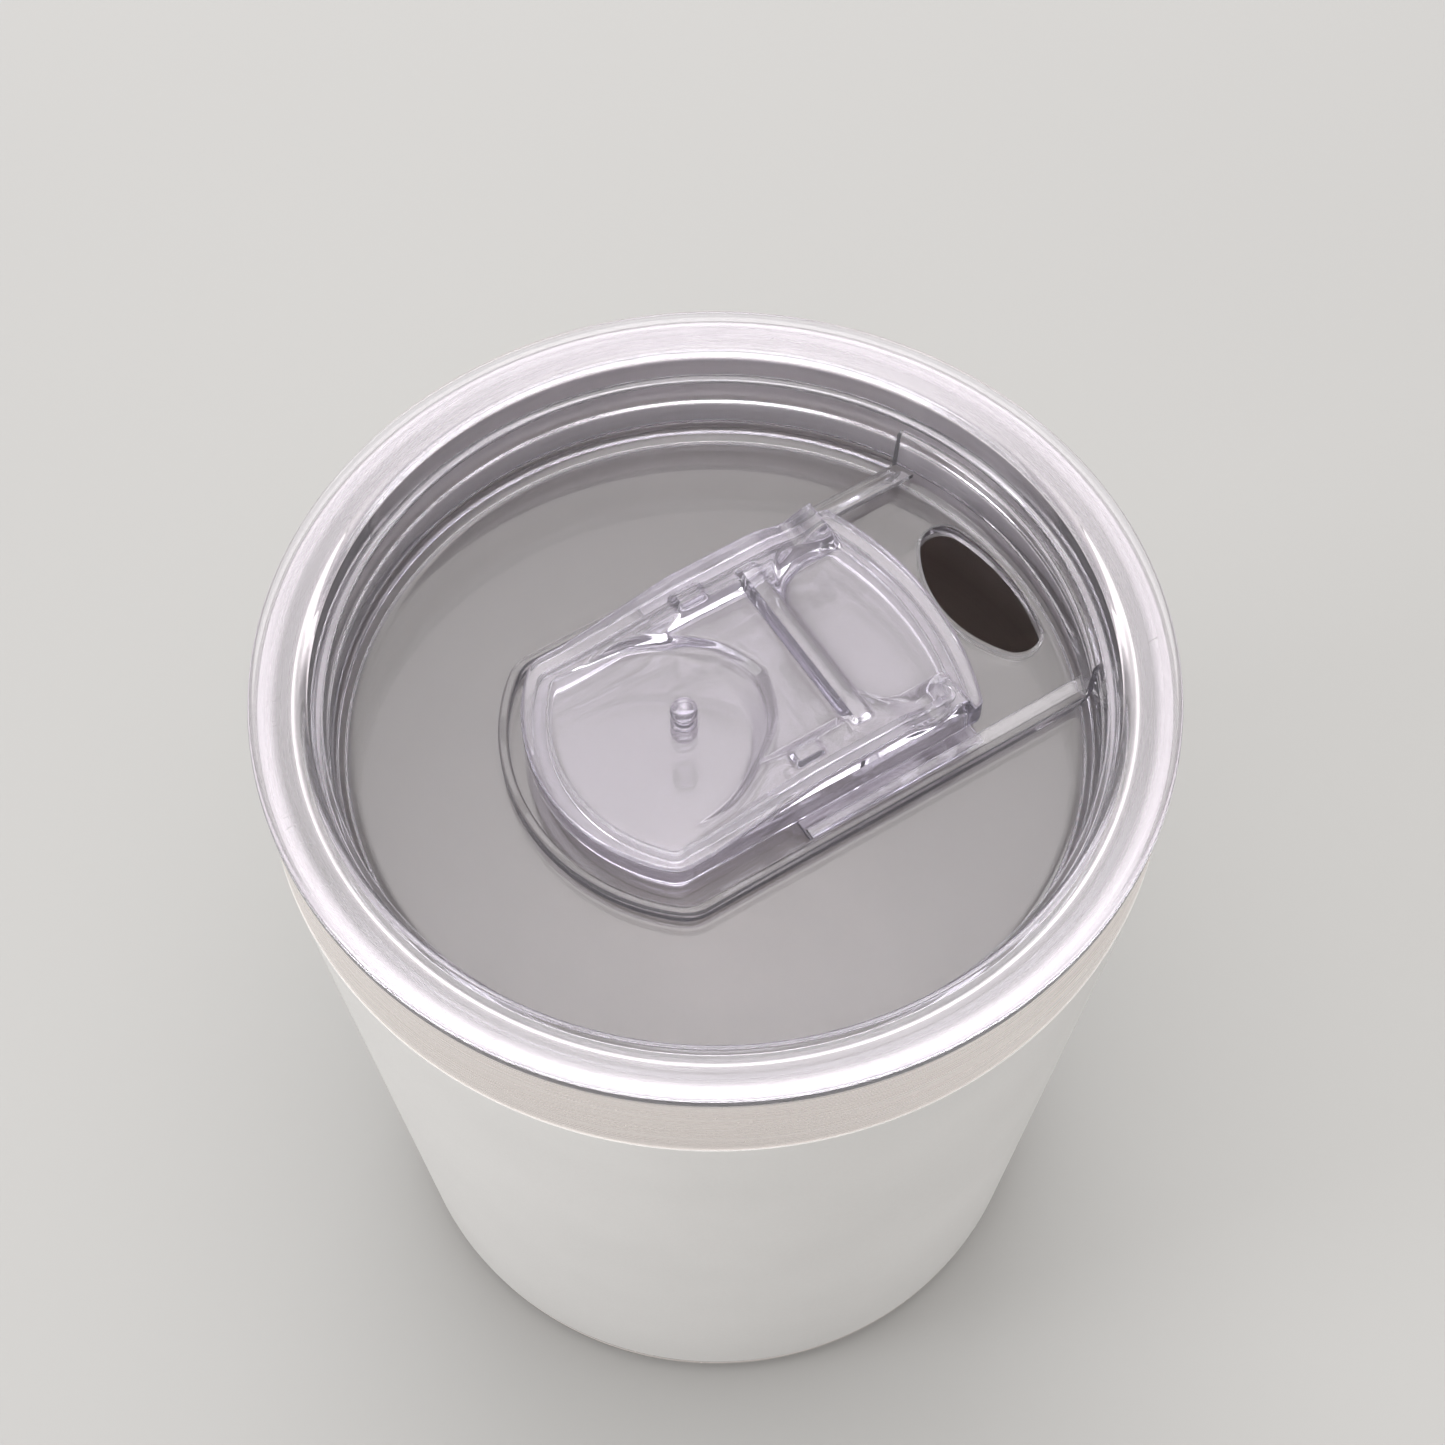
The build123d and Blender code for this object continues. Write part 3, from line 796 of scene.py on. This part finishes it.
def rail_mesh():
    """U-shaped rail with a rounded top, from wall to wall round the slider."""
    rear_x = -math.sqrt(TRACK_REAR**2 - TRACK_HALF**2)
    end = math.sqrt(WALL_REACH**2 - TRACK_HALF**2)
    limit = math.asin(TRACK_HALF / TRACK_REAR)
    arc = []  # its ends are left out, to make room for the corners' fillets
    for k in range(3, RAIL_ARC_STEPS - 2):
        angle = math.pi - limit * (1 - 2 * k / RAIL_ARC_STEPS)
        arc.append((TRACK_REAR * math.cos(angle), TRACK_REAR * math.sin(angle), 0))
    corners = [
        (end, TRACK_HALF, 0),
        (rear_x, TRACK_HALF, TRACK_CORNER),
        *arc,
        (rear_x, -TRACK_HALF, TRACK_CORNER),
        (end, -TRACK_HALF, 0),
    ]
    path = rounded(corners, closed=False, steps=14)
    top, foot = FLOOR + RAIL_HEIGHT, FLOOR - RAIL_ROOT
    section = [(0, foot, 0), (0, top, RAIL_ROUND), (-RAIL, top, RAIL_ROUND), (-RAIL, foot, 0)]
    return swept_mesh("rail_mesh", path, rounded(section, steps=4))


def other_side(point):
    """The point mirrored across the centre line."""
    return (point[0], -point[1])


def hole_cutter_mesh():
    """Bean-shaped plug that opens out at the floor's faces."""
    front_end, side, rear_end = other_side(HOLE_FRONT_END), other_side(HOLE_SIDE), other_side(HOLE_REAR_END)
    outline = (
        arc_points(front_end, HOLE_FRONT, HOLE_FRONT_END, 30)
        + arc_points(HOLE_FRONT_END, HOLE_SIDE, HOLE_REAR_END, 24)
        + arc_points(HOLE_REAR_END, HOLE_REAR, rear_end, 36)
        + arc_points(rear_end, side, front_end, 24)
    )
    count = len(outline)
    points = []
    for height, grow in HOLE_LEVELS:
        for i, (x, y) in enumerate(outline):
            (px, py), (nx, ny) = outline[i - 1], outline[(i + 1) % count]
            along = Vector((nx - px, ny - py)).normalized()
            points.append((x - along.y * grow, y + along.x * grow, FLOOR + height + LID_TOP))
    return mesh_from("hole_cutter_mesh", points, capped_faces(len(HOLE_LEVELS), count))


def lid_piece():
    """The lid's one clear moulding."""
    lips = bar_pair("lip_mesh", LIP_X, LIP_SIDES, LIP_HEIGHTS, LIP_ROUND)
    added = [spout_wall_mesh(), rail_mesh(), *lips]
    return combine("lid_clear", lid_shell_mesh(), added, [hole_cutter_mesh()])


# ---- slider ------------------------------------------------------------------------------------------


def slider_outline():
    """Half of the slider's outline, y >= 0, from nose to rear, evenly spaced."""
    rear_x = -math.sqrt(SLIDER_REAR**2 - SLIDER_HALF**2)
    nose = arc_points((SLIDER_NOSE, 0), NOSE_SHOULDER, (SLIDER_SIDE_END, SLIDER_HALF), 24)
    limit = math.pi - math.asin(SLIDER_HALF / SLIDER_REAR)
    angles = np.linspace(limit, math.pi, 30)
    # the arcs' ends are left out, to make room for the corners' fillets
    corners = [
        *((x, y, 0) for x, y in nose[:-2]),
        (SLIDER_SIDE_END, SLIDER_HALF, SLIDER_FRONT_CORNER),
        (rear_x, SLIDER_HALF, SLIDER_REAR_CORNER),
        *((SLIDER_REAR * math.cos(a), SLIDER_REAR * math.sin(a), 0) for a in angles[4:]),
    ]
    line = np.array([(p.x, p.y) for p in rounded(corners, closed=False, steps=12)])
    lengths = np.concatenate([[0], np.cumsum(np.hypot(*np.diff(line, axis=0).T))])
    even = np.linspace(0, lengths[-1], OUTLINE_POINTS)
    return np.column_stack([np.interp(even, lengths, line[:, 0]), np.interp(even, lengths, line[:, 1])])


def rising(value, start, run):
    """From 0 at start to 1 a run further on."""
    return np.clip((value - start) / run, 0, 1)


def falling(value, end, run):
    """From 1 a run before end to 0 at end."""
    return np.clip((end - value) / run, 0, 1)


def blurred(field, sigma):
    """Field with every crease rounded off, sigma in millimetres."""
    reach = int(3 * sigma / GRID) + 1
    kernel = np.exp(-0.5 * (np.arange(-reach, reach + 1) * GRID / sigma) ** 2)
    kernel /= kernel.sum()
    field = np.pad(field, reach, mode="edge")
    field = np.apply_along_axis(np.convolve, 0, field, kernel, "valid")
    return np.apply_along_axis(np.convolve, 1, field, kernel, "valid")


def rear_heights(x, y, v):
    """Arms that climb from the rear and the lower plateau between them, banked round the dish."""
    arm = GRIP_RISE * rising(x, ARM_START, run=ARM_RUN)
    plateau = GRIP_RISE - PLATEAU_FALL * falling(v, ARM_INNER, run=1.2)
    bank_width = np.interp(v, [0, 5.0, 8.5], [4.6, 3.4, 1.2])
    climb = (np.hypot(x - DISH_X, y) - DISH_RADIUS) / bank_width
    bank = GRIP_RISE * np.interp(climb, [0, 0.55, 1.0], [0, 0.25, 1.0])
    heights = np.minimum.reduce([arm, plateau, bank])
    return np.where(x < PLATEAU_END, heights, 0)


def front_heights(x, v):
    """Arms round the pocket, curved on their inner side and scooped for a finger."""
    inner_edge = np.interp(x, [12.0, 12.6, 13.4, 14.4, 15.6], [5.6, 6.8, 7.9, 8.5, 8.8])
    scoop = SCOOP_DEPTH * np.exp(-((x - SCOOP_X) / SCOOP_WIDTH) ** 2)
    heights = rising(v, inner_edge, run=2.0) * (GRIP_RISE - scoop) * falling(x, POCKET_END, run=0.7)
    return np.where(x > POCKET_START, heights, 0)


def ridge_heights(x, v):
    """Cross ridge between the dish and the pocket."""
    across = falling(v, RIDGE_END, run=2.0)
    return np.interp(x, [8.8, 9.2, 11.0, 12.2], [0, RIDGE_RISE, RIDGE_RISE, 0]) * across


def post_heights(x, v):
    """Raised block on each arm beside the plateau."""
    along = falling(np.abs(x - POST_X), POST_HALF_LENGTH, run=0.8)
    across = falling(np.abs(v - POST_Y), POST_HALF_WIDTH, run=0.8)
    return POST_RISE * along * across


def grip_fields():
    """Heights over the deck of the slider's top, and of its hollow underside, on a grid."""
    xs = np.arange(GRID_X[0], GRID_X[1] + GRID, GRID)
    ys = np.arange(GRID_Y[0], GRID_Y[1] + GRID, GRID)
    x, y = np.meshgrid(xs, ys, indexing="ij")
    v = np.abs(y)
    creased = np.maximum.reduce([
        rear_heights(x, y, v), front_heights(x, v), ridge_heights(x, v), post_heights(x, v),
    ])
    top = blurred(creased, GRIP_BLUR)
    hollow = blurred(creased * falling(v, 12.4, run=2.4), HOLLOW_BLUR) * HOLLOW_SHARE
    return xs, ys, top, hollow


def sampled(xs, ys, field, points):
    """Field values at plan points, between the grid's nodes."""
    fx = np.clip((points[..., 0] - xs[0]) / GRID, 0, len(xs) - 1.001)
    fy = np.clip((points[..., 1] - ys[0]) / GRID, 0, len(ys) - 1.001)
    i, j = fx.astype(int), fy.astype(int)
    u, w = fx - i, fy - j
    near = field[i, j] * (1 - w) + field[i, j + 1] * w
    far = field[i + 1, j] * (1 - w) + field[i + 1, j + 1] * w
    return near * (1 - u) + far * u


def slider_body_mesh():
    """Tray, grip and hollow underside as one closed skin of rings round the outline."""
    half = slider_outline()
    outline = np.vstack([half, half[-2:0:-1] * (1, -1)])
    count = len(outline)
    spine = np.column_stack([np.clip(outline[:, 0], *SPINE), np.zeros(count)])
    along = np.roll(outline, -1, axis=0) - np.roll(outline, 1, axis=0)
    normal = np.column_stack([along[:, 1], -along[:, 0]])
    normal /= np.linalg.norm(normal, axis=1)[:, None]
    outward = outline - spine
    outward /= np.linalg.norm(outward, axis=1)[:, None]
    lean = np.abs((outward * normal).sum(axis=1))
    xs, ys, top, hollow = grip_fields()

    def at_inset(inset):
        return outline - outward * (inset / lean)[:, None]

    rings = []
    edge = at_inset(BROW_ROUND)
    for share in np.linspace(0, 1, TOP_RINGS):
        plan = spine + (edge - spine) * share
        rings.append(np.column_stack([plan, DECK + sampled(xs, ys, top, plan)]))
    brow = DECK + sampled(xs, ys, top, edge)
    for turn in np.linspace(0.2, 1.0, 5) * math.pi / 2:
        plan = at_inset(BROW_ROUND * (1 - math.sin(turn)))
        rings.append(np.column_stack([plan, brow - BROW_ROUND * (1 - math.cos(turn))]))
    for share in (0.25, 0.5, 0.75, 1.0):
        heights = (brow - BROW_ROUND) * (1 - share) + WALL_FOOT_Z * share
        rings.append(np.column_stack([at_inset(0), heights]))
    for inset, height in STEP_PROFILE + FOOT_PROFILE + HOLLOW_PROFILE:
        rings.append(np.column_stack([at_inset(inset), np.full(count, height)]))
    inner = at_inset(HOLLOW_INSET)
    for share in np.linspace(1, 0, HOLLOW_RINGS):
        plan = spine + (inner - spine) * share
        rings.append(np.column_stack([plan, DECK - SLIDER_SKIN + sampled(xs, ys, hollow, plan)]))

    points = np.vstack(rings) + (0, 0, LID_TOP)
    return mesh_from("slider_body_mesh", points.tolist(), ring_faces(len(rings), count))


def nub_mesh():
    """Ball on a short flared neck."""
    flare = [(0, -0.05), (1.35, -0.05), (1.3, 0.02), (1.0, 0.16), (NUB_NECK, 0.4)]
    outline = [(r, DECK + z, 0) for r, z in flare]
    start = math.acos(NUB_NECK / NUB_BALL)
    for turn in np.linspace(-start, math.pi / 2, 24):
        outline.append((max(NUB_BALL * math.cos(turn), 0), NUB_CENTRE + NUB_BALL * math.sin(turn), 0))
    mesh = turned("nub_mesh", outline, drop=LID_TOP, steps=64)
    mesh.transform(Matrix.Translation((NUB_X * MM, 0, 0)))
    return mesh


def slider_piece():
    """The slider's one clear moulding."""
    tongues = bar_pair("tongue_mesh", TONGUE_X, TONGUE_SIDES, TONGUE_HEIGHTS, TONGUE_ROUND)
    return joined("slider_clear", [slider_body_mesh(), nub_mesh(), *tongues])


# ---- pieces on their bodies ----------------------------------------------------------------------------
MATERIALS = {
    "outer_shell": rim_steel("steel_band"),
    "inner_vessel": vessel_steel("steel_vessel"),
    "radiation_foil": foil("foil"),
    "powder_coat": powder_coat("powder_coat"),
    "outer_bottom": base_steel("steel_bottom"),
    "seal_bead": silicone("solder_glass", tint=(0.3, 0.31, 0.33)),
    "getter_capsule": silicone("getter", tint=(0.25, 0.25, 0.26)),
    "base_cap": base_steel("steel_cap"),
    "foot_pad": silicone("foot_silicone", tint=(0.42, 0.43, 0.44)),
    "lid_body": clear_plastic("clear_lid", tint=(0.94, 0.925, 0.96)),
    "lid_gasket": silicone("clear_silicone", tint=(0.95, 0.93, 0.92), transmission=0.15),
    "slider": clear_plastic("clear_slider", tint=(0.91, 0.885, 0.95)),
}
BODY_OF = {n: body for body, members in frame["record"]["behaviour"]["bodies"].items() for n in members}

PIECES = {
    "outer_shell": link("steel_shell", shell_mesh()),
    "inner_vessel": link("steel_vessel", vessel_mesh()),
    "powder_coat": link("body_coat", coat_mesh()),
    "base_cap": link("foot_cap", cap_mesh()),
    "foot_pad": link("grip_pad", pad_mesh()),
    "lid_body": lid_piece(),
    "lid_gasket": link("lid_seal", gasket_mesh()),
    "slider": slider_piece(),
}
for node, piece in PIECES.items():
    piece.data.materials.clear()
    piece.data.materials.append(MATERIALS[node])
    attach(piece, BODY_OF[node])
    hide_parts(node)
for node in sorted(set(MATERIALS) - set(PIECES)):
    carried_over = frame["nodes"][node].data
    carried_over.materials.clear()
    carried_over.materials.append(MATERIALS[node])


# ---- studio --------------------------------------------------------------------------------------


def make_floor():
    """Plain light grey floor."""
    mesh = bpy.data.meshes.new("floor")
    corners = [(-1, -1), (1, -1), (1, 1), (-1, 1)]
    mesh.from_pydata([(x * FLOOR_HALF, y * FLOOR_HALF, FLOOR_Z) for x, y in corners], [], [(0, 1, 2, 3)])
    floor = link("floor", mesh)
    g = Graph(bpy.data.materials.new("floor"))
    cloud = g.noise(g.place(), scale=3.0, detail=2.0)
    g.set(
        Base_Color=g.ramp(cloud, (0.36, 0.36, 0.358), (0.38, 0.38, 0.377)),
        Roughness=0.7,
    )
    mesh.materials.append(g.owner)


def make_world():
    """Even pale surround with one long soft-edged overhead glow."""
    g = Graph(bpy.data.worlds.new("studio"), "Background", "World Output")
    bpy.context.scene.world = g.owner
    towards = g.node("ShaderNodeTexCoord").outputs["Generated"]
    height = g.split(towards)["Z"]
    c, s = math.cos(GLOW_HEADING), math.sin(GLOW_HEADING)

    def along(axis):
        made = g.node("ShaderNodeVectorMath", operation="DOT_PRODUCT")
        g.put(made.inputs[0], towards)
        g.put(made.inputs[1], axis)
        return made.outputs["Value"]

    length = g.math("DIVIDE", g.math("SUBTRACT", along((c, s, 0)), GLOW_MIDDLE), GLOW_HALF_LENGTH)
    width = g.math("DIVIDE", along((-s, c, 0)), GLOW_HALF_WIDTH)
    fade = g.span(g.squares(length, width), 0.0, GLOW_END, GLOW_LEVEL, 0.0)
    glow = g.math("MULTIPLY", fade, g.span(height, 0.0, GLOW_HORIZON))
    surround = g.span(height, 0.0, 1.0, HORIZON_LEVEL, ZENITH_LEVEL)
    g.set(Strength=g.math("ADD", surround, glow), Color=SKY_COLOR)


def area_light(name, place, size, power):
    """Rectangular softbox that faces the lid."""
    data = bpy.data.lights.new(name, "AREA")
    data.shape = "RECTANGLE"
    data.size, data.size_y = size
    data.energy = power
    light = link(name, data)
    light.location = place
    light.rotation_mode = "QUATERNION"
    light.rotation_quaternion = (Vector(LIGHT_TARGET) - Vector(place)).to_track_quat("-Z", "Y")


make_floor()
make_world()
area_light("back_strip", place=(0.35, 0.75, 0.55), size=(0.8, 0.25), power=2.5)
area_light("left_strip", place=(-0.8, 0.2, 0.5), size=(0.25, 0.8), power=2.0)

bpy.context.scene.view_settings.view_transform = "Standard"
